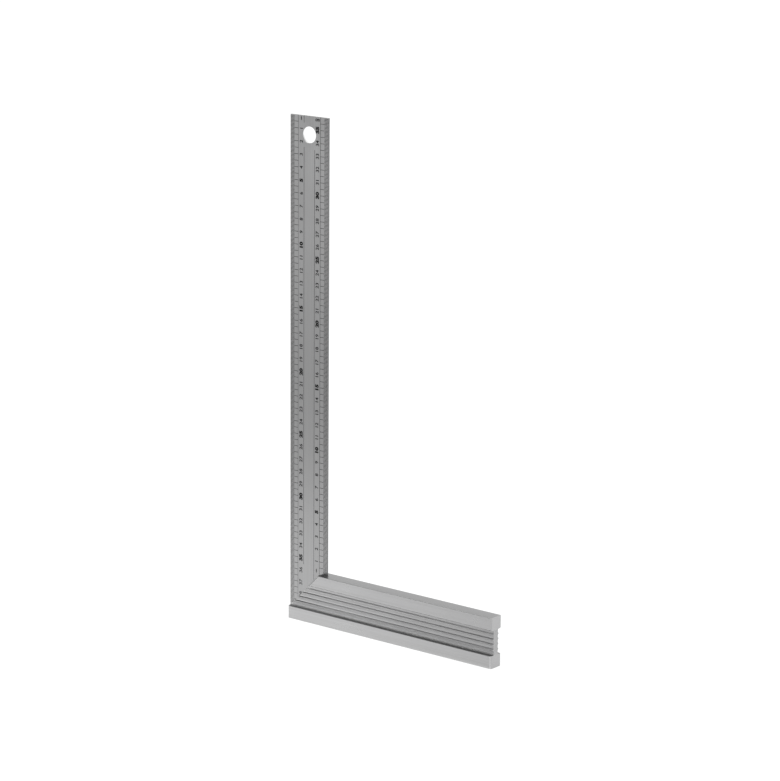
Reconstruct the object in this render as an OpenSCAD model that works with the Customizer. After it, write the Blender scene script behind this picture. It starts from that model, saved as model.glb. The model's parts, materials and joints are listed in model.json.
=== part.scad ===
// Carpenter's try square: a flat steel rule fixed upright in a ribbed aluminium stock.
// Millimetres. +X runs along the stock away from the blade, +Y is the back, +Z runs up the blade.
// The origin is the middle of the footprint, on the face that the stock stands on.

/* [Blade] */
// Height of the blade's tip above the foot face
square_h = 400; // [200:1:600]
// Width of the rule
blade_w = 37.5; // [30:0.5:50]
// Thickness of the rule
blade_t = 1.5; // [1:0.1:2]
// Diameter of the hanging hole
hang_hole_d = 12.7; // [6:0.1:20]
// Distance from the tip to the middle of the hanging hole
hang_hole_drop = 14.4; // [12:0.1:40]
// Bevel on the rim of the hanging hole, on both faces
hang_hole_bevel = 0.2; // [0.1:0.05:0.3]
// How far the rule's outer edge stands proud of the stock's end
blade_overhang = 1.7; // [0:0.1:4]

/* [Stock] */
// Length of the stock
stock_l = 200; // [120:1:400]
// Height of the stock
stock_h = 40; // [36:0.5:50]
// Thickness across the head and the foot
stock_t = 12; // [11:0.5:20]
// Height of the foot flange
foot_h = 10.1; // [8:0.1:12]
// Height of the head flange
head_h = 10.2; // [8:0.1:12]
// Rounding along the lower edges of the head flange
head_under_r = 1.4; // [1:0.1:2.5]
// Thickness of the web between the flanges
web_t = 5; // [4:0.1:8]
// Rounding along the other long edges of the flanges
edge_r = 0.3; // [0.2:0.1:1.5]
// Rounding in the corners between the web and the flanges
root_r = 0.6; // [0.2:0.1:1]
// Rounding of the front edges at the stock's ends and on the mitre
end_r = 1.6; // [0.5:0.1:2.5]
// Chamfer on the upright back edges at the stock's ends
end_break = 0.2; // [0.1:0.05:0.5]

/* [Grip ribs] */
// Number of ribs on each side of the web
rib_count = 4; // [2:1:5]
// Distance from one rib to the next
rib_pitch = 4; // [3:0.1:6]
// Radius of a rib's bead
rib_r = 1; // [0.6:0.1:1.4]
// How far a rib stands out from the web
rib_rise = 0.75; // [0.3:0.05:1]
// Height of the ribs' middle line above the foot face
rib_mid_z = 20.3; // [19:0.1:22]

/* [Blade seat] */
// Distance from the stock's end to the mitre, measured on top of the foot
mitre_start = 0.2; // [0.1:0.1:10]
// Distance from the rule's inner edge to the mitre, measured on top of the head
mitre_land = 5.7; // [5:0.1:8]
// Thickness of the floor left under the slot
slot_floor = 3; // [2:0.1:6]
// Clearance between the rule and the slot, on each face and at the inner edge
slot_clearance = 0.05; // [0.02:0.01:0.2]
// Diameter of the pins that hold the rule
pin_d = 4; // [2:0.1:5]
// Wall left in front of a pin's blind end
pin_cover = 2; // [1:0.1:3]
// Distance from the stock's end to the outer pin in the foot
foot_pin_inset = 9; // [6:0.1:14]
// Distance between the two pins in the foot
foot_pin_pitch = 19; // [12:0.1:22]
// Distance from the rule's inner edge to the pin in the head
head_pin_inset = 4; // [4:0.1:5]

/* [Hidden] */
$fn = 48;
// Cutters run this far past the faces that they cut
past = 1;

// The footprint is centred on X, so the rule's outer edge is the left end of the part
part_l = blade_overhang + stock_l;
blade_x0 = -part_l / 2;
blade_x1 = blade_x0 + blade_w;
stock_x0 = blade_x0 + blade_overhang;
stock_x1 = stock_x0 + stock_l;

// Heights in the stock's section
head_z = stock_h - head_h;
head_face_z = head_z + head_under_r;

// The mitre rises at about 45 degrees from the top of the foot to the top of the head
mitre_x0 = stock_x0 + mitre_start;
mitre_x1 = blade_x1 - mitre_land;
mitre_slope = (mitre_x1 - mitre_x0) / (stock_h - foot_h);

// Pins: two in the foot, halfway between the slot's floor and the foot's top, and one in the head
foot_pin_z = (slot_floor + foot_h) / 2;
head_pin_z = (head_face_z + stock_h) / 2;
pin_l = stock_t - pin_cover;
pin_spots = [
    [stock_x0 + foot_pin_inset, foot_pin_z],
    [stock_x0 + foot_pin_inset + foot_pin_pitch, foot_pin_z],
    [blade_x1 - head_pin_inset, head_pin_z]
];

// Rectangle across the section, from z0 to z1 and to half_w on both sides
module band(half_w, z0, z1) {
    translate([-half_w, z0])
        square([2 * half_w, z1 - z0]);
}

// Rounded edges of a flange whose level face is at edge_z, where dir points into the flange
module flange_edge(edge_z, dir, round_r) {
    core = stock_t / 2 - round_r;
    inner_z = edge_z + dir * 2 * round_r;
    band(core, min(edge_z, inner_z), max(edge_z, inner_z));
    for (side = [-1, 1])
        translate([side * core, edge_z + dir * round_r])
            circle(r = round_r);
}

// Corner fillets between the web and a flange face at the height z, where dir points along the web
module root_fillets(z, dir) {
    for (side = [-1, 1])
        difference() {
            translate([side * web_t / 2, z])
                square(2 * root_r, center = true);
            translate([side * (web_t / 2 + root_r), z + dir * root_r])
                circle(r = root_r);
        }
}

// Section across the stock: X of the sketch is the part's Y, and Y of the sketch is its Z
module stock_section() {
    // Foot flange, rounded on all four edges
    flange_edge(0, 1, edge_r);
    band(stock_t / 2, edge_r, foot_h - edge_r);
    flange_edge(foot_h, -1, edge_r);
    // Head flange, rounded a little on top and more below
    flange_edge(head_z, 1, head_under_r);
    band(stock_t / 2, head_face_z, stock_h - edge_r);
    flange_edge(stock_h, -1, edge_r);
    // Web, run into the middle of both flanges, with its fillets and grip ribs
    band(web_t / 2, foot_h / 2, stock_h - head_h / 2);
    root_fillets(foot_h, 1);
    root_fillets(head_z, -1);
    for (i = [0 : rib_count - 1], side = [-1, 1])
        translate([
            side * (web_t / 2 + rib_rise - rib_r),
            rib_mid_z + (i - (rib_count - 1) / 2) * rib_pitch
        ])
            circle(r = rib_r);
}

// Corner piece along Z that leaves a front edge round, where dir points into the stock
module front_round_cut(dir, length) {
    translate([0, -stock_t / 2, 0])
        linear_extrude(length)
            difference() {
                translate([dir * (end_r - past) / 2, (end_r - past) / 2])
                    square(end_r + past, center = true);
                translate([dir * end_r, end_r])
                    circle(r = end_r);
            }
}

// Rounds the upright front edge at an end of the stock
module end_round_cut(x, dir) {
    translate([x, 0, -past])
        front_round_cut(dir, stock_h + 2 * past);
}

// Rounds the sloping front edge that the mitre leaves on the head, from halfway up the web to past the top
module mitre_round_cut() {
    web_mid_z = (foot_h + head_z) / 2;
    translate([mitre_x0 + mitre_slope * (web_mid_z - foot_h), 0, web_mid_z])
        rotate([0, atan(mitre_slope), 0])
            front_round_cut(1, (stock_h - web_mid_z + end_r + past) * norm([mitre_slope, 1]));
}

// Wedge that takes a 45-degree chamfer off the back edge at an end of the stock
module end_break_cut(x) {
    break_w = end_break * sqrt(2);
    translate([x, stock_t / 2, stock_h / 2])
        rotate(45)
            cube([break_w, break_w, stock_h + 2 * past], center = true);
}

// Everything above the foot on the outer side of the mitre
module mitre_cut() {
    translate([0, stock_t / 2 + past, 0])
        rotate([90, 0, 0])
            linear_extrude(stock_t + 2 * past)
                polygon([
                    [stock_x0 - past, foot_h],
                    [mitre_x0, foot_h],
                    [mitre_x1 + mitre_slope * past, stock_h + past],
                    [stock_x0 - past, stock_h + past]
                ]);
}

// Slot for the rule, open at the stock's end and top
module blade_slot() {
    slot_w = blade_t + 2 * slot_clearance;
    translate([stock_x0 - past, -slot_w / 2, slot_floor])
        cube([blade_x1 + slot_clearance - stock_x0 + past, slot_w, stock_h]);
}

// One pin or its hole, from the stock's back face inwards
module pin_body(length) {
    translate([0, stock_t / 2, 0])
        rotate([90, 0, 0])
            cylinder(d = pin_d, h = length);
}

// Holes or pins at every pin place
module at_pins() {
    for (spot = pin_spots)
        translate([spot[0], 0, spot[1]])
            children();
}

// Ribbed extrusion with its mitre, slot, pin holes and rounded ends
module stock() {
    color("silver")
        difference() {
            translate([stock_x0, 0, 0])
                rotate([90, 0, 90])
                    linear_extrude(stock_l)
                        stock_section();
            end_round_cut(stock_x0, 1);
            end_round_cut(stock_x1, -1);
            end_break_cut(stock_x0);
            end_break_cut(stock_x1);
            mitre_cut();
            mitre_round_cut();
            blade_slot();
            at_pins()
                pin_body(pin_l);
        }
}

// Flat rule that stands on the slot's floor, with a bevelled hanging hole near its tip
module blade() {
    hole_z = square_h - hang_hole_drop;
    color("darkgray")
        difference() {
            translate([blade_x0, -blade_t / 2, slot_floor])
                cube([blade_w, blade_t, square_h - slot_floor]);
            translate([(blade_x0 + blade_x1) / 2, 0, hole_z])
                rotate([90, 0, 0]) {
                    cylinder(d = hang_hole_d, h = blade_t + 2 * past, center = true);
                    for (side = [0, 180])
                        rotate([side, 0, 0])
                            translate([0, 0, blade_t / 2 - hang_hole_bevel])
                                cylinder(
                                    d1 = hang_hole_d,
                                    d2 = hang_hole_d + 4 * hang_hole_bevel,
                                    h = 2 * hang_hole_bevel
                                );
                }
            at_pins()
                pin_body(stock_t);
        }
}

// Three plain pins, pressed in from the back and flush with the stock's back face
module blade_pins() {
    color("gainsboro")
        at_pins()
            pin_body(pin_l);
}

stock();
blade();
blade_pins();
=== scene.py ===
import json
import math

import bmesh
import bpy
from mathutils import Matrix, Vector


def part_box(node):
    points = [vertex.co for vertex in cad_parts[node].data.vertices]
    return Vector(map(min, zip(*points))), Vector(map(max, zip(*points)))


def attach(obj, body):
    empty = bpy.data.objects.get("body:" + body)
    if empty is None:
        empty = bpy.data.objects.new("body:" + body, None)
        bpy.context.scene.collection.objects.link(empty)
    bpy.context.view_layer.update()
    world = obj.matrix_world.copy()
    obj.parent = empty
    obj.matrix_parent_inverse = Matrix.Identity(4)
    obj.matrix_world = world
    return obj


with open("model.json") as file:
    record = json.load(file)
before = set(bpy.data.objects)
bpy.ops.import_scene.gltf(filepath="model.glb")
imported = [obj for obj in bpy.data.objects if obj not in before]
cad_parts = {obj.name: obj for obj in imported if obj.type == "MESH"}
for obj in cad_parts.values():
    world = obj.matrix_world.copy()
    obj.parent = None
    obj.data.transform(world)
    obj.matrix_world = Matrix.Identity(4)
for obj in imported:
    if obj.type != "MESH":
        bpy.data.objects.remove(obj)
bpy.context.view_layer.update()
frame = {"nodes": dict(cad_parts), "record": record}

# Stock
# One length of ribbed aluminium extrusion, mitred and slotted at one end and satin anodised, with faint die
# lines. Its edges are rubbed bright. Shade is painted on its ledge, on its top towards the front, on the
# steep flanks of its ribs towards the far end and on their upper flanks beside the mitre. Light is painted
# under its head, above each rib, under the lowest rib, at the root of the web, on the foot's corners and on
# the mitre.
MM = 0.001

# Heights up the section
LEDGE = 9.9 * MM
RECESS_LOW = 10.25 * MM
ROOT_LOW = 11.5 * MM
ROOT_HIGH = 12.4 * MM
UNDER_RIB_LOW = 13.5 * MM
UNDER_RIB_HIGH = 13.9 * MM
LOWEST_RIB = 14.3 * MM
MIDDLE_RIB = 20.3 * MM
RIB_PITCH = 4 * MM
BROW_LOW = 25.8 * MM
BROW_HIGH = 26.4 * MM
RECESS_HIGH = 29.4 * MM
TOP_LOW = 35 * MM
TOP_HIGH = 39 * MM
FADE = 0.3 * MM

# Places along the stock and across it, and the slant of the painted flank shade along the stock per height
NEAR_MITRE = -88 * MM
OFF_MITRE = -58 * MM
ALONG_FROM = -60 * MM
ALONG_TO = 90 * MM
FLANK_SHADE_FROM = -5 * MM
FLANK_SHADE_TO = 65 * MM
FLANK_SHADE_SLANT = 8
TOP_FRONT = -5 * MM
TOP_BACK = 5 * MM

# Painted shade on the upper flank of each rib and a painted highlight just above it, in shares of the pitch
CREASE_STARTS = (0.08, 0.10)
CREASE_ENDS = (0.19, 0.21)
LIP_STARTS = (0.25, 0.29)
LIP_ENDS = (0.36, 0.44)

# Where a finish starts and is full, as the product of two parts of the direction that the surface faces
SAWN_FACING = (0.4, 0.6)
MITRE_FACING = (-0.05, -0.25)
ROUND_FACING = (0.03, 0.1)
CORNER_FACING = (-0.08, -0.2)
SLOPING_FACING = (0.03, 0.25)
STEEP_FACING = (0.25, 0.5)
LEVEL_FACING = (0.8, 0.9)

# Greys from dark to light streaks
FACE_GREYS = (0.45, 0.50)
WEB_GREYS = (0.43, 0.47)
FLANK_GREYS = (0.47, 0.51)
FLANK_SHADE_GREYS = (0.26, 0.30)
CREASE_SHADE_GREYS = (0.05, 0.08)
CORNER_HIGHLIGHT_GREYS = (0.56, 0.60)
SAWN_GREYS = (0.41, 0.45)
MITRE_LIGHT_GREYS = (0.84, 0.88)
RUBBED_GREYS = (0.58, 0.62)
TOP_FRONT_GREYS = (0.42, 0.47)
TOP_BACK_GREYS = (0.46, 0.51)

# Painted light and shade that change along the stock, first near the blade and then at its far end
LIP_HIGHLIGHT_GREYS = (0.64, 0.68), (0.46, 0.50)
BROW_LIGHT_GREYS = (0.51, 0.55), (0.44, 0.48)
BROW_FLANK_LIGHT_GREYS = (0.53, 0.57), (0.64, 0.68)
UNDER_RIB_LIGHT_GREYS = (0.59, 0.63), (0.52, 0.56)
ROOT_LIGHT_GREYS = (0.73, 0.79), (0.67, 0.71)
LEDGE_SHADE_GREYS = (0.27, 0.31), (0.18, 0.21)

# Lines per metre along each axis, roughness, relief and edges
DIE_LINES = (5, 2600, 2600)
STOCK_CLOUD = (30, 60, 60)
STOCK_ROUGHNESS = (0.26, 0.34)
RECESS_ROUGHNESS = 0.18
DIE_LINE_DEPTH = 0.01 * MM
STOCK_EDGE = 0.35 * MM
EDGE_SAMPLES = 6
RUBBED_LEAN = (0.99, 0.80)
NOISE_DETAIL = 3.0
NOISE_SPAN = (0.3, 0.7)
COOL_TINT = 1.01
RELIEF_STRENGTH = 0.25


def spread(tree, value, taken, given):
    """Maps a range of values onto another one, held at its ends."""
    node = tree.nodes.new("ShaderNodeMapRange")
    node.inputs["From Min"].default_value, node.inputs["From Max"].default_value = taken
    node.inputs["To Min"].default_value, node.inputs["To Max"].default_value = given
    tree.links.new(value, node.inputs["Value"])
    return node.outputs["Result"]


def bare_metal(name, edge_radius):
    """A metal with its shader, and a mask that is 1 on edges rubbed bright and 0 on the faces."""
    metal = bpy.data.materials.new(name)
    metal.use_nodes = True
    tree = metal.node_tree
    shader = tree.nodes["Principled BSDF"]
    shader.inputs["Metallic"].default_value = 1.0
    rounded = tree.nodes.new("ShaderNodeBevel")
    rounded.samples = EDGE_SAMPLES
    rounded.inputs["Radius"].default_value = edge_radius
    surface = tree.nodes.new("ShaderNodeNewGeometry")
    lean = tree.nodes.new("ShaderNodeVectorMath")
    lean.operation = "DOT_PRODUCT"
    tree.links.new(rounded.outputs["Normal"], lean.inputs[0])
    tree.links.new(surface.outputs["Normal"], lean.inputs[1])
    rubbed = spread(tree, lean.outputs["Value"], RUBBED_LEAN, (0, 1))
    return metal, tree, shader, rubbed


def grain(tree, lines_per_metre, detail=NOISE_DETAIL):
    """Noise fixed to the part, as fine along each axis as the lines per metre say."""
    place = tree.nodes.new("ShaderNodeTexCoord")
    stretch = tree.nodes.new("ShaderNodeMapping")
    stretch.inputs["Scale"].default_value = lines_per_metre
    noise = tree.nodes.new("ShaderNodeTexNoise")
    noise.inputs["Scale"].default_value = 1.0
    noise.inputs["Detail"].default_value = detail
    tree.links.new(place.outputs["Object"], stretch.inputs["Vector"])
    tree.links.new(stretch.outputs["Vector"], noise.inputs["Vector"])
    return noise.outputs["Fac"]


def shades(tree, value, greys):
    """A run of greys from dark to light, with a touch of blue at its light end."""
    dark, light = greys
    ramp = tree.nodes.new("ShaderNodeValToRGB")
    ramp.color_ramp.elements[0].color = (dark, dark, dark, 1)
    ramp.color_ramp.elements[1].color = (light, light, light * COOL_TINT, 1)
    tree.links.new(value, ramp.inputs["Fac"])
    return ramp.outputs["Color"]


def layered(tree, mask, under, above):
    """One colour laid over another where the mask is 1."""
    mix = tree.nodes.new("ShaderNodeMix")
    mix.data_type = "RGBA"
    tree.links.new(mask, mix.inputs["Factor"])
    sockets = [s for s in mix.inputs if s.type == "RGBA"]
    tree.links.new(under, sockets[0])
    tree.links.new(above, sockets[1])
    return next(s for s in mix.outputs if s.type == "RGBA")


def joined(tree, operation, first, second):
    """Two values put together by a sum or a product."""
    node = tree.nodes.new("ShaderNodeMath")
    node.operation = operation
    tree.links.new(first, node.inputs[0])
    tree.links.new(second, node.inputs[1])
    return node.outputs["Value"]


def scaled(tree, value, factor, start):
    """A value times a factor, counted from the start."""
    node = tree.nodes.new("ShaderNodeMath")
    node.operation = "MULTIPLY_ADD"
    node.inputs[1].default_value = factor
    node.inputs[2].default_value = -factor * start
    tree.links.new(value, node.inputs[0])
    return node.outputs["Value"]


def share_of_step(tree, value, start, step):
    """How far a value lies into its own step of a row of even steps, from 0 to 1."""
    node = tree.nodes.new("ShaderNodeMath")
    node.operation = "FRACT"
    tree.links.new(scaled(tree, value, 1 / step, start), node.inputs[0])
    return node.outputs["Value"]


def parts_of(tree, node_type, output):
    """The X, Y and Z of a place or of a direction."""
    source = tree.nodes.new(node_type)
    axes = tree.nodes.new("ShaderNodeSeparateXYZ")
    tree.links.new(source.outputs[output], axes.inputs["Vector"])
    return axes.outputs


def facing(tree, first, second, span):
    """A mask over a span of the product of two parts of the direction that the surface faces."""
    direction = parts_of(tree, "ShaderNodeNewGeometry", "True Normal")
    return spread(tree, joined(tree, "MULTIPLY", direction[first], direction[second]), span, (0, 1))


def scratched(tree, shader, height, depth):
    """Shallow relief of a real depth on a shader."""
    relief = tree.nodes.new("ShaderNodeBump")
    relief.inputs["Strength"].default_value = RELIEF_STRENGTH
    relief.inputs["Distance"].default_value = depth
    tree.links.new(height, relief.inputs["Height"])
    tree.links.new(relief.outputs["Normal"], shader.inputs["Normal"])


def satin_aluminium():
    metal, tree, shader, rubbed = bare_metal("satin_aluminium", STOCK_EDGE)
    die_lines = grain(tree, DIE_LINES)
    streaks = spread(tree, die_lines, NOISE_SPAN, (0, 1))
    place = parts_of(tree, "ShaderNodeTexCoord", "Object")
    height = place["Z"]

    def grey(greys):
        return shades(tree, streaks, greys)

    def over(mask, under, above):
        return layered(tree, mask, under, above)

    def both(first, second):
        return joined(tree, "MULTIPLY", first, second)

    def growing(value, low, high):
        return spread(tree, value, (low, high), (0, 1))

    def fading(value, low, high):
        return spread(tree, value, (low, high), (1, 0))

    along_stock = growing(place["X"], ALONG_FROM, ALONG_TO)

    # Painted light and shade that change along the stock, from near the blade to its far end.
    def towards_held_end(greys):
        at_blade_end, at_far_end = greys
        return over(along_stock, grey(at_blade_end), grey(at_far_end))

    # Where each finish lies
    below_head = fading(height, RECESS_HIGH, RECESS_HIGH + FADE)
    ledge = both(growing(height, LEDGE, LEDGE + FADE / 2), below_head)
    recess = both(growing(height, RECESS_LOW, RECESS_LOW + FADE), below_head)
    root = fading(height, ROOT_LOW, ROOT_HIGH)
    under_rib_light = both(
        growing(height, UNDER_RIB_LOW - FADE, UNDER_RIB_LOW),
        fading(height, UNDER_RIB_HIGH, UNDER_RIB_HIGH + FADE),
    )
    brow_light = growing(height, BROW_LOW, BROW_HIGH)
    sloping = facing(tree, "Z", "Z", SLOPING_FACING)
    steep = facing(tree, "Z", "Z", STEEP_FACING)
    slanted = joined(tree, "ADD", place["X"], scaled(tree, height, -FLANK_SHADE_SLANT, MIDDLE_RIB))
    painted_flank_shade = both(growing(slanted, FLANK_SHADE_FROM, FLANK_SHADE_TO), steep)
    in_pitch = share_of_step(tree, height, LOWEST_RIB, RIB_PITCH)
    crease_shade = both(growing(in_pitch, *CREASE_STARTS), fading(in_pitch, *CREASE_ENDS))
    crease_shade = both(crease_shade, fading(place["X"], NEAR_MITRE, OFF_MITRE))
    lip_highlight = both(growing(in_pitch, *LIP_STARTS), fading(in_pitch, *LIP_ENDS))
    top = both(facing(tree, "Z", "Z", LEVEL_FACING), growing(height, TOP_LOW, TOP_HIGH))
    backward = growing(place["Y"], TOP_FRONT, TOP_BACK)
    corner_highlight = both(facing(tree, "X", "Y", CORNER_FACING), fading(height, LEDGE, LEDGE + FADE))
    sawn_end = facing(tree, "X", "X", SAWN_FACING)
    mitre_light = both(facing(tree, "X", "Z", MITRE_FACING), facing(tree, "Y", "Y", ROUND_FACING))

    # Ribs and web, from the upright parts to the flanks, the edge under the lowest rib and the root
    # Painted shade: the steep flanks of the ribs are darker towards the far end of the stock.
    flanks = over(painted_flank_shade, grey(FLANK_GREYS), grey(FLANK_SHADE_GREYS))
    # Painted shade: a dark band on the upper flank of each rib beside the mitre.
    flanks = over(crease_shade, flanks, grey(CREASE_SHADE_GREYS))
    # Painted light: the rib flanks under the head are lighter.
    flanks = over(brow_light, flanks, towards_held_end(BROW_FLANK_LIGHT_GREYS))
    # Painted highlight: a pale band on the web just above each rib.
    grips = over(lip_highlight, grey(WEB_GREYS), towards_held_end(LIP_HIGHLIGHT_GREYS))
    # Painted light: the web under the head is lighter.
    grips = over(brow_light, grips, towards_held_end(BROW_LIGHT_GREYS))
    grips = over(sloping, grips, flanks)
    # Painted light: the band under the lowest rib is lighter.
    grips = over(under_rib_light, grips, towards_held_end(UNDER_RIB_LIGHT_GREYS))
    # Painted light: the root of the web, just above the ledge, is much lighter.
    grips = over(root, grips, towards_held_end(ROOT_LIGHT_GREYS))

    # Whole stock
    # Painted shade: the ledge on top of the foot is made dark, darker towards the far end.
    tone = over(ledge, grey(FACE_GREYS), towards_held_end(LEDGE_SHADE_GREYS))
    tone = over(recess, tone, grips)
    # Painted shade: the top face is darker towards the front than towards the back.
    tone = over(top, tone, over(backward, grey(TOP_FRONT_GREYS), grey(TOP_BACK_GREYS)))
    # Painted highlight: the foot's rounded corners are made bright.
    tone = over(corner_highlight, tone, grey(CORNER_HIGHLIGHT_GREYS))
    tone = over(sawn_end, tone, grey(SAWN_GREYS))
    # Painted light: the mitre's rounding is made much lighter than the rest of the stock.
    tone = over(mitre_light, tone, grey(MITRE_LIGHT_GREYS))
    tone = over(rubbed, tone, grey(RUBBED_GREYS))
    tree.links.new(tone, shader.inputs["Base Color"])
    smooth = spread(tree, grain(tree, STOCK_CLOUD), NOISE_SPAN, STOCK_ROUGHNESS)
    matt = spread(tree, recess, (0, 1), (0, RECESS_ROUGHNESS))
    tree.links.new(joined(tree, "ADD", smooth, matt), shader.inputs["Roughness"])
    scratched(tree, shader, die_lines, DIE_LINE_DEPTH)
    return metal


def dress(node, metal):
    """Gives a CAD node its finish."""
    mesh = frame["nodes"][node].data
    mesh.materials.clear()
    mesh.materials.append(metal)


dress("stock", satin_aluminium())

# Blade
# The upright rule: a strip of spring steel, ground flat and brushed along its length, with a hole to hang
# it by near the tip. It stands in the stock's slot, square to the stock.
STEEL_GREYS = (0.375, 0.425)
WORN_GREYS = (0.45, 0.50)
EDGE_SHADE_GREYS = (0.17, 0.23)
HOLE_LIGHT_GREYS = (0.86, 0.92)
BRUSH_LINES = (4200, 4200, 9)
BLADE_CLOUD = (40, 40, 18)
BLADE_ROUGHNESS = (0.28, 0.36)
BRUSH_LINE_DEPTH = 0.008 * MM
BLADE_EDGE = 0.12 * MM
RIM_LOW = 0.02 * MM
RIM_HIGH = 0.08 * MM


def inside_hole(tree, mount):
    """A mask that is 1 on the wall of a hole along Y that the record lists among its mounts."""
    x, _, z = mount["pos_m"]
    radius = mount["dims"]["r_mm"] * MM
    place = tree.nodes.new("ShaderNodeTexCoord")
    flat = tree.nodes.new("ShaderNodeVectorMath")
    flat.operation = "MULTIPLY"
    flat.inputs[1].default_value = (1, 0, 1)
    reach = tree.nodes.new("ShaderNodeVectorMath")
    reach.operation = "DISTANCE"
    reach.inputs[1].default_value = (x, 0, z)
    tree.links.new(place.outputs["Object"], flat.inputs[0])
    tree.links.new(flat.outputs["Vector"], reach.inputs[0])
    return spread(tree, reach.outputs["Value"], (radius + RIM_LOW, radius + RIM_HIGH), (1, 0))


def brushed_steel():
    metal, tree, shader, rubbed = bare_metal("brushed_steel", BLADE_EDGE)
    brush_lines = grain(tree, BRUSH_LINES)
    streaks = spread(tree, brush_lines, NOISE_SPAN, (0, 1))
    hanging_hole = next(m for m in frame["record"]["mounts"] if m["name"] == "hanging_hole")
    tone = layered(tree, rubbed, shades(tree, streaks, STEEL_GREYS), shades(tree, streaks, WORN_GREYS))
    # Painted shade: the blade's long side edges are made dark.
    tone = layered(tree, facing(tree, "X", "X", SAWN_FACING), tone, shades(tree, streaks, EDGE_SHADE_GREYS))
    # Painted light: the wall of the hanging hole is made nearly white.
    tone = layered(tree, inside_hole(tree, hanging_hole), tone, shades(tree, streaks, HOLE_LIGHT_GREYS))
    tree.links.new(tone, shader.inputs["Base Color"])
    roughness = spread(tree, grain(tree, BLADE_CLOUD), NOISE_SPAN, BLADE_ROUGHNESS)
    tree.links.new(roughness, shader.inputs["Roughness"])
    scratched(tree, shader, brush_lines, BRUSH_LINE_DEPTH)
    return metal


dress("blade", brushed_steel())

# Pins
# Three steel dowels in blind holes in the stock, pressed through the blade from the back to hold the two
# square. Their ends are linished flush with the stock's back, which leaves fine marks along it.
PIN_GREYS = (0.36, 0.44)
PIN_RIM_GREYS = (0.22, 0.30)
BELT_LINES = (60, 60, 5200)
PIN_ROUGHNESS = (0.24, 0.34)
BELT_LINE_DEPTH = 0.008 * MM
PIN_EDGE = 0.15 * MM


def linished_steel():
    metal, tree, shader, rim = bare_metal("linished_steel", PIN_EDGE)
    belt_lines = grain(tree, BELT_LINES)
    streaks = spread(tree, belt_lines, NOISE_SPAN, (0, 1))
    tone = layered(tree, rim, shades(tree, streaks, PIN_GREYS), shades(tree, streaks, PIN_RIM_GREYS))
    tree.links.new(tone, shader.inputs["Base Color"])
    tree.links.new(spread(tree, belt_lines, NOISE_SPAN, PIN_ROUGHNESS), shader.inputs["Roughness"])
    scratched(tree, shader, belt_lines, BELT_LINE_DEPTH)
    return metal


dress("blade_pins", linished_steel())

# Scale ticks
# Millimetre scales burnt black into both faces of the blade: one along the outer edge, counted from the
# tip, and one along the inner edge, counted from the stock. The marks are paler near the stock.
FACES = {"front": -1, "back": 1}
MARK_RISE = 0.015 * MM
MARK_SINK = 0.005 * MM
MARK_SLOPE = 0.02 * MM
TICK_W = 0.37 * MM
SHORT_TICK = 4.0 * MM
LONG_TICK = 7.8 * MM
LONG_EVERY = 5
INK_GREYS = (0.004, 0.022)
PALE_INK_GREYS = (0.07, 0.11)
PALE_LOW = 10 * MM
PALE_HIGH = 75 * MM
SPECKLE = (2500, 2500, 2500)
SPECKLE_DETAIL = 4.0
SPECKLE_DEPTH = 0.004 * MM
INK_ROUGHNESS = (0.5, 0.7)
INK_GLOSS = 0.15

blade_low, blade_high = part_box("blade")
outer_edge = blade_low.x
inner_edge = blade_high.x
blade_tip = blade_high.z
stock_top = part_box("stock")[1].z

# The outer scale runs down from the tip, and the inner one up from the stock
scales = {
    "outer": {
        "edge": outer_edge, "inward": 1, "start": blade_tip, "step": -1, "ticks": 388, "numbers": 38,
    },
    "inner": {
        "edge": inner_edge, "inward": -1, "start": stock_top, "step": 1, "ticks": 359, "numbers": 35,
    },
}


def burnt_black():
    ink = bpy.data.materials.new("burnt_black")
    ink.use_nodes = True
    tree = ink.node_tree
    shader = tree.nodes["Principled BSDF"]
    shader.inputs["Specular IOR Level"].default_value = INK_GLOSS
    speckle = grain(tree, SPECKLE, SPECKLE_DETAIL)
    height = parts_of(tree, "ShaderNodeTexCoord", "Object")["Z"]
    pale = spread(tree, height, (PALE_LOW, PALE_HIGH), (1, 0))
    tone = layered(tree, pale, shades(tree, speckle, INK_GREYS), shades(tree, speckle, PALE_INK_GREYS))
    tree.links.new(tone, shader.inputs["Base Color"])
    tree.links.new(spread(tree, speckle, NOISE_SPAN, INK_ROUGHNESS), shader.inputs["Roughness"])
    scratched(tree, shader, speckle, SPECKLE_DEPTH)
    return ink


mark_ink = burnt_black()


def face_y(face, rise):
    """Y of a layer that lies the given rise above one face of the blade."""
    middle = (blade_low.y + blade_high.y) / 2
    half = (blade_high.y - blade_low.y) / 2
    return middle + FACES[face] * (half + rise)


def add_bar(mesh, face, x0, x1, z0, z1):
    """One mark with sloped sides, sunk a little into the face of the blade."""
    rings = []
    for rise, slope in ((-MARK_SINK, 0), (MARK_RISE, MARK_SLOPE)):
        y = face_y(face, rise)
        left, right, low, high = x0 + slope, x1 - slope, z0 + slope, z1 - slope
        corners = ((left, low), (right, low), (right, high), (left, high))
        rings.append([mesh.verts.new((x, y, z)) for x, z in corners])
    base, top = rings
    mesh.faces.new(base)
    mesh.faces.new(top)
    for i in range(4):
        j = (i + 1) % 4
        mesh.faces.new((base[i], base[j], top[j], top[i]))


def add_piece(name, mesh, material):
    """Turns a finished bmesh into a piece that rides with the square."""
    bmesh.ops.recalc_face_normals(mesh, faces=mesh.faces[:])
    data = bpy.data.meshes.new(name)
    mesh.to_mesh(data)
    mesh.free()
    data.materials.append(material)
    piece = bpy.data.objects.new(name, data)
    bpy.context.scene.collection.objects.link(piece)
    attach(piece, "root")


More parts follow.
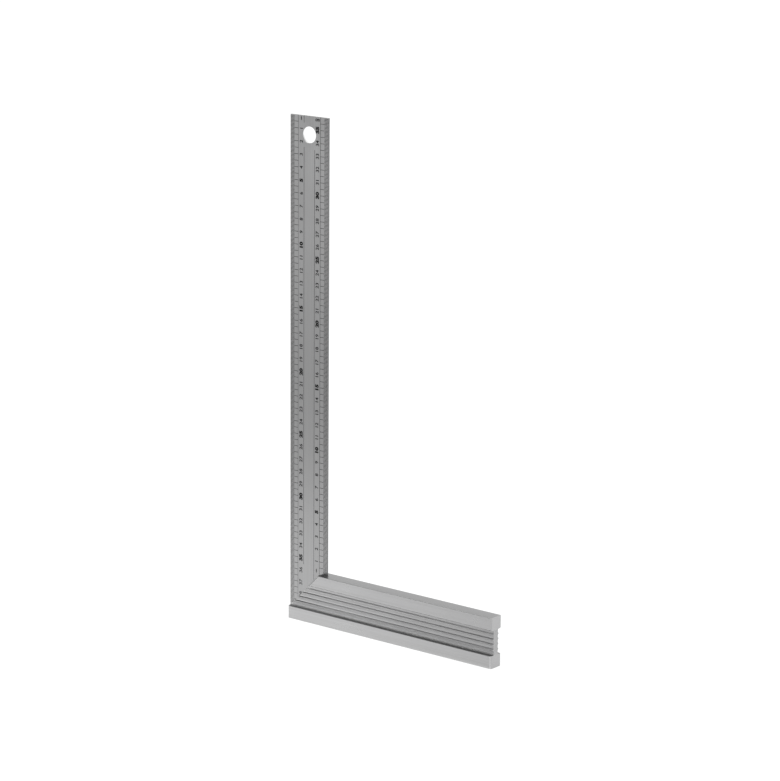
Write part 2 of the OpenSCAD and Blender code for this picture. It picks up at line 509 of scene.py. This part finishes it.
def tick_row(face, scale):
    """A row of millimetre ticks from the blade's edge inwards, with every fifth one long."""
    mesh = bmesh.new()
    edge, inward = scale["edge"], scale["inward"]
    for n in range(1, scale["ticks"] + 1):
        z = scale["start"] + scale["step"] * n * MM
        reach = LONG_TICK if n % LONG_EVERY == 0 else SHORT_TICK
        x0, x1 = sorted((edge + inward * MARK_SLOPE, edge + inward * reach))
        add_bar(mesh, face, x0, x1, z - TICK_W / 2, z + TICK_W / 2)
    return mesh


for face in FACES:
    for name, scale in scales.items():
        add_piece(name + "_ticks_" + face, tick_row(face, scale), mark_ink)

# Guide lines
# Hairlines beside each scale, burnt with it: one where the long ticks end and one past the numbers.
# The two past the numbers stop short of the hanging hole, and the outer one has a stub at the tip.
LINE_W = 0.35 * MM
THIN_LINE_W = 0.25 * MM
NUMBER_LINE = 13.5 * MM
LINE_FOOT = 16 * MM
OUTER_LINE_FOOT = 45 * MM
OUTER_LINE_TOP = 376 * MM
INNER_LINE_TOP = 374.5 * MM
STUB_FOOT = 394.5 * MM
line_end = blade_tip - MARK_SLOPE
for face in FACES:
    mesh = bmesh.new()
    for x, width, z0, z1 in (
        (outer_edge + LONG_TICK, THIN_LINE_W, LINE_FOOT, line_end),
        (outer_edge + NUMBER_LINE, LINE_W, OUTER_LINE_FOOT, OUTER_LINE_TOP),
        (outer_edge + NUMBER_LINE, LINE_W, STUB_FOOT, line_end),
        (inner_edge - LONG_TICK, LINE_W, LINE_FOOT, line_end),
        (inner_edge - NUMBER_LINE, LINE_W, LINE_FOOT, INNER_LINE_TOP),
    ):
        add_bar(mesh, face, x - width / 2, x + width / 2, z0, z1)
    add_piece("guide_lines_" + face, mesh, mark_ink)

# Numbers
# Centimetre numbers beside the ticks, turned to read up the blade and centred on their own ticks, burnt
# like them. Every fifth one is bold. Small unit marks stand where the scales start and at the tip.
CENTIMETRE = 10 * MM
BOLD_EVERY = 5
NUMBER_MIDDLE = 10.75 * MM
DIGIT_H = 3.0 * MM
DIGIT_SHARE = 0.729
UNIT_H = 1.25 * MM
UNIT_STEP = 2.3 * MM
TIP_UNIT_H = 2.9 * MM
READ_UP = math.radians(90)
UPRIGHT = 0
CURVE_STEPS = 3
WELD = 0.0005 * MM

# Added weight of the strokes, and stretch along the word
BOLD = (0.30 * MM, 1.3)
FINE = (0.09 * MM, 1.14)
TIP_STYLE = (0.14 * MM, 0.9)


def label_mesh(words, height, style):
    """A word set flat, centred on the origin, as thick as a mark stands out of and into the blade."""
    weight, stretch = style
    letters = bpy.data.curves.new("label", "FONT")
    letters.body = words
    letters.size = height / DIGIT_SHARE
    letters.resolution_u = CURVE_STEPS
    letters.offset = weight
    letters.extrude = (MARK_RISE + MARK_SINK) / 2
    holder = bpy.data.objects.new("label", letters)
    bpy.context.scene.collection.objects.link(holder)
    bpy.context.view_layer.update()
    flat = bpy.data.meshes.new_from_object(holder.evaluated_get(bpy.context.evaluated_depsgraph_get()))
    bpy.data.objects.remove(holder)
    bpy.data.curves.remove(letters)
    ends = [v.co.x for v in flat.vertices]
    heights = [v.co.y for v in flat.vertices]
    middle = Vector((min(ends) + max(ends), min(heights) + max(heights), MARK_SINK - MARK_RISE)) / 2
    flat.transform(Matrix.Diagonal((stretch, 1, 1, 1)) @ Matrix.Translation(-middle))
    return flat


def add_label(mesh, face, words, x, z, height, style, turn=READ_UP):
    """Sets a label on one face of the blade, upright or turned to read upwards."""
    side = FACES[face]
    standing = Matrix(((-side, 0, 0), (0, 0, side), (0, 1, 0))).to_4x4()
    flat = label_mesh(words, height, style)
    place = Matrix.Translation((x, face_y(face, 0), z))
    flat.transform(place @ standing @ Matrix.Rotation(turn, 4, "Z"))
    mesh.from_mesh(flat)
    bpy.data.meshes.remove(flat)


for face in FACES:
    for name, scale in scales.items():
        mesh = bmesh.new()
        x = scale["edge"] + scale["inward"] * NUMBER_MIDDLE
        start, step = scale["start"], scale["step"]
        for n in range(1, scale["numbers"] + 1):
            style = BOLD if n % BOLD_EVERY == 0 else FINE
            add_label(mesh, face, str(n), x, start + step * n * CENTIMETRE, DIGIT_H, style)
        add_label(mesh, face, "mm", x, start + step * UNIT_STEP, UNIT_H, FINE)
        if name == "inner":
            add_label(mesh, face, "cm", x, blade_tip - UNIT_STEP, TIP_UNIT_H, TIP_STYLE, UPRIGHT)
        bmesh.ops.remove_doubles(mesh, verts=mesh.verts[:], dist=WELD)
        add_piece(name + "_numbers_" + face, mesh, mark_ink)

# Floor
# The pale table that the square stands on. It is matt and lit from within, so that it stays white to its
# far edge and takes no shadow.
FLOOR_HALF = 15.0
FLOOR_GREY = 0.30
FLOOR_GLOW = 0.85

floor_mesh = bmesh.new()
bmesh.ops.create_grid(floor_mesh, x_segments=1, y_segments=1, size=FLOOR_HALF)
floor_data = bpy.data.meshes.new("floor")
floor_mesh.to_mesh(floor_data)
floor_mesh.free()
pale_table = bpy.data.materials.new("pale_table")
pale_table.use_nodes = True
pale_shader = pale_table.node_tree.nodes["Principled BSDF"]
pale_shader.inputs["Base Color"].default_value = (FLOOR_GREY, FLOOR_GREY, FLOOR_GREY, 1)
pale_shader.inputs["Roughness"].default_value = 1.0
pale_shader.inputs["Specular IOR Level"].default_value = 0.0
pale_shader.inputs["Emission Color"].default_value = (1, 1, 1, 1)
pale_shader.inputs["Emission Strength"].default_value = FLOOR_GLOW
floor_data.materials.append(pale_table)
floor = bpy.data.objects.new("floor", floor_data)
bpy.context.scene.collection.objects.link(floor)

# Studio
# A pale room with a softbox above, and two panels that only the metal's reflections see: a grey one that
# lies on the table in front, and a dark one that stands at its far end, above the blade's own reflections.
ROOM_GREY = 0.72
VIEW_TURN = math.radians(38.40)
PANEL_TURN = math.radians(-90) - VIEW_TURN
PANEL_GLOW = 1.32
PANEL_FAR = 3.2

room = bpy.data.worlds.new("room")
room.use_nodes = True
room.node_tree.nodes["Background"].inputs["Color"].default_value = (ROOM_GREY, ROOM_GREY, ROOM_GREY, 1)
bpy.context.scene.world = room


def fade(tree, distance, stops):
    """Greys set along a distance in metres."""
    ramp = tree.nodes.new("ShaderNodeValToRGB")
    ramp.color_ramp.interpolation = "EASE"
    near, far = stops[0][0], stops[-1][0]
    tree.links.new(spread(tree, distance, (near, far), (0, 1)), ramp.inputs["Fac"])
    elements = ramp.color_ramp.elements
    while len(elements) < len(stops):
        elements.new(0.5)
    for element, (place, grey) in zip(elements, stops):
        element.position = (place - near) / (far - near)
        element.color = (grey, grey, grey, 1)
    return ramp.outputs["Color"]


def glow_from(name, along, across):
    """Light that changes with the distance along a panel and across it."""
    glow = bpy.data.materials.new(name)
    glow.use_nodes = True
    tree = glow.node_tree
    tree.nodes.remove(tree.nodes["Principled BSDF"])
    place = parts_of(tree, "ShaderNodeTexCoord", "Object")
    product = tree.nodes.new("ShaderNodeVectorMath")
    product.operation = "MULTIPLY"
    tree.links.new(fade(tree, place["X"], along), product.inputs[0])
    tree.links.new(fade(tree, place["Y"], across), product.inputs[1])
    light = tree.nodes.new("ShaderNodeEmission")
    light.inputs["Strength"].default_value = PANEL_GLOW
    tree.links.new(product.outputs["Vector"], light.inputs["Color"])
    tree.links.new(light.outputs["Emission"], tree.nodes["Material Output"].inputs["Surface"])
    return glow


def add_panel(name, corners, glow):
    """A glowing panel that shows only in reflections, turned so that its X runs away from the square."""
    data = bpy.data.meshes.new(name)
    data.from_pydata(corners, [], [(0, 1, 2, 3)])
    data.materials.append(glow)
    panel = bpy.data.objects.new(name, data)
    panel.rotation_euler.z = PANEL_TURN
    bpy.context.scene.collection.objects.link(panel)
    panel.visible_camera = False
    panel.visible_diffuse = False
    panel.visible_shadow = False
    panel.visible_transmission = False


LOW_RISE = 0.5 * MM
LOW_GAP = 8 * MM
LOW_LEFT, LOW_RIGHT = -2.0, 0.6
LOW_ALONG = (
    (-0.10, 0.92), (0.30, 0.82), (0.45, 0.67), (0.62, 0.49), (0.85, 0.39),
    (1.15, 0.50), (1.5, 0.76), (2.0, 0.92), (PANEL_FAR, 0.92),
)
LOW_ACROSS = ((-0.10, 1.0), (-0.05, 0.936), (0.0, 0.86), (0.10, 0.745))


def beside_blade(across):
    """Where a panel that runs along the blade's front face starts, the gap away from it."""
    return (LOW_GAP - across * math.sin(VIEW_TURN)) / math.cos(VIEW_TURN)


add_panel(
    "low_panel",
    [
        (beside_blade(LOW_LEFT), LOW_LEFT, LOW_RISE),
        (PANEL_FAR, LOW_LEFT, LOW_RISE),
        (PANEL_FAR, LOW_RIGHT, LOW_RISE),
        (beside_blade(LOW_RIGHT), LOW_RIGHT, LOW_RISE),
    ],
    glow_from("low_glow", LOW_ALONG, LOW_ACROSS),
)

DARK_HALF, DARK_LOW, DARK_HIGH = 3.0, 0.28, 3.0
DARK_ALONG = ((0.0, 0.05), (PANEL_FAR, 0.05))
DARK_ACROSS = ((-DARK_HALF, 1.0), (DARK_HALF, 1.0))
add_panel(
    "dark_panel",
    [
        (PANEL_FAR, -DARK_HALF, DARK_LOW),
        (PANEL_FAR, DARK_HALF, DARK_LOW),
        (PANEL_FAR, DARK_HALF, DARK_HIGH),
        (PANEL_FAR, -DARK_HALF, DARK_HIGH),
    ],
    glow_from("dark_glow", DARK_ALONG, DARK_ACROSS),
)

SOFTBOX_W, SOFTBOX_D = 1.2, 0.8
SOFTBOX_POWER = 6.0
SOFTBOX_PLACE = (-0.2, -0.3, 1.5)
softbox_light = bpy.data.lights.new("softbox", "AREA")
softbox_light.shape = "RECTANGLE"
softbox_light.size = SOFTBOX_W
softbox_light.size_y = SOFTBOX_D
softbox_light.energy = SOFTBOX_POWER
softbox = bpy.data.objects.new("softbox", softbox_light)
softbox.location = SOFTBOX_PLACE
bpy.context.scene.collection.objects.link(softbox)

# Camera
# A long lens from the front right, a little above, turned a touch to level the square in the picture.
# Tones are shown as they are, with no film curve.
LENS = 135.69
LOOK_AT = Vector((-0.00254, 0.0, 0.19824))
DISTANCE = 2.23093
VIEW_DROP = math.radians(13.24)
VIEW_ROLL = math.radians(0.48)

forward = Vector((
    -math.sin(VIEW_TURN) * math.cos(VIEW_DROP),
    math.cos(VIEW_TURN) * math.cos(VIEW_DROP),
    -math.sin(VIEW_DROP),
))
level = Vector((math.cos(VIEW_TURN), math.sin(VIEW_TURN), 0))
upright = level.cross(forward)
right = level * math.cos(VIEW_ROLL) + upright * math.sin(VIEW_ROLL)
up = upright * math.cos(VIEW_ROLL) - level * math.sin(VIEW_ROLL)
lens = bpy.data.cameras.new("camera")
lens.lens = LENS
camera = bpy.data.objects.new("camera", lens)
camera_turn = Matrix((right, up, -forward)).transposed().to_4x4()
camera.matrix_world = Matrix.Translation(LOOK_AT - forward * DISTANCE) @ camera_turn
bpy.context.scene.collection.objects.link(camera)
bpy.context.scene.camera = camera
bpy.context.scene.view_settings.view_transform = "Standard"
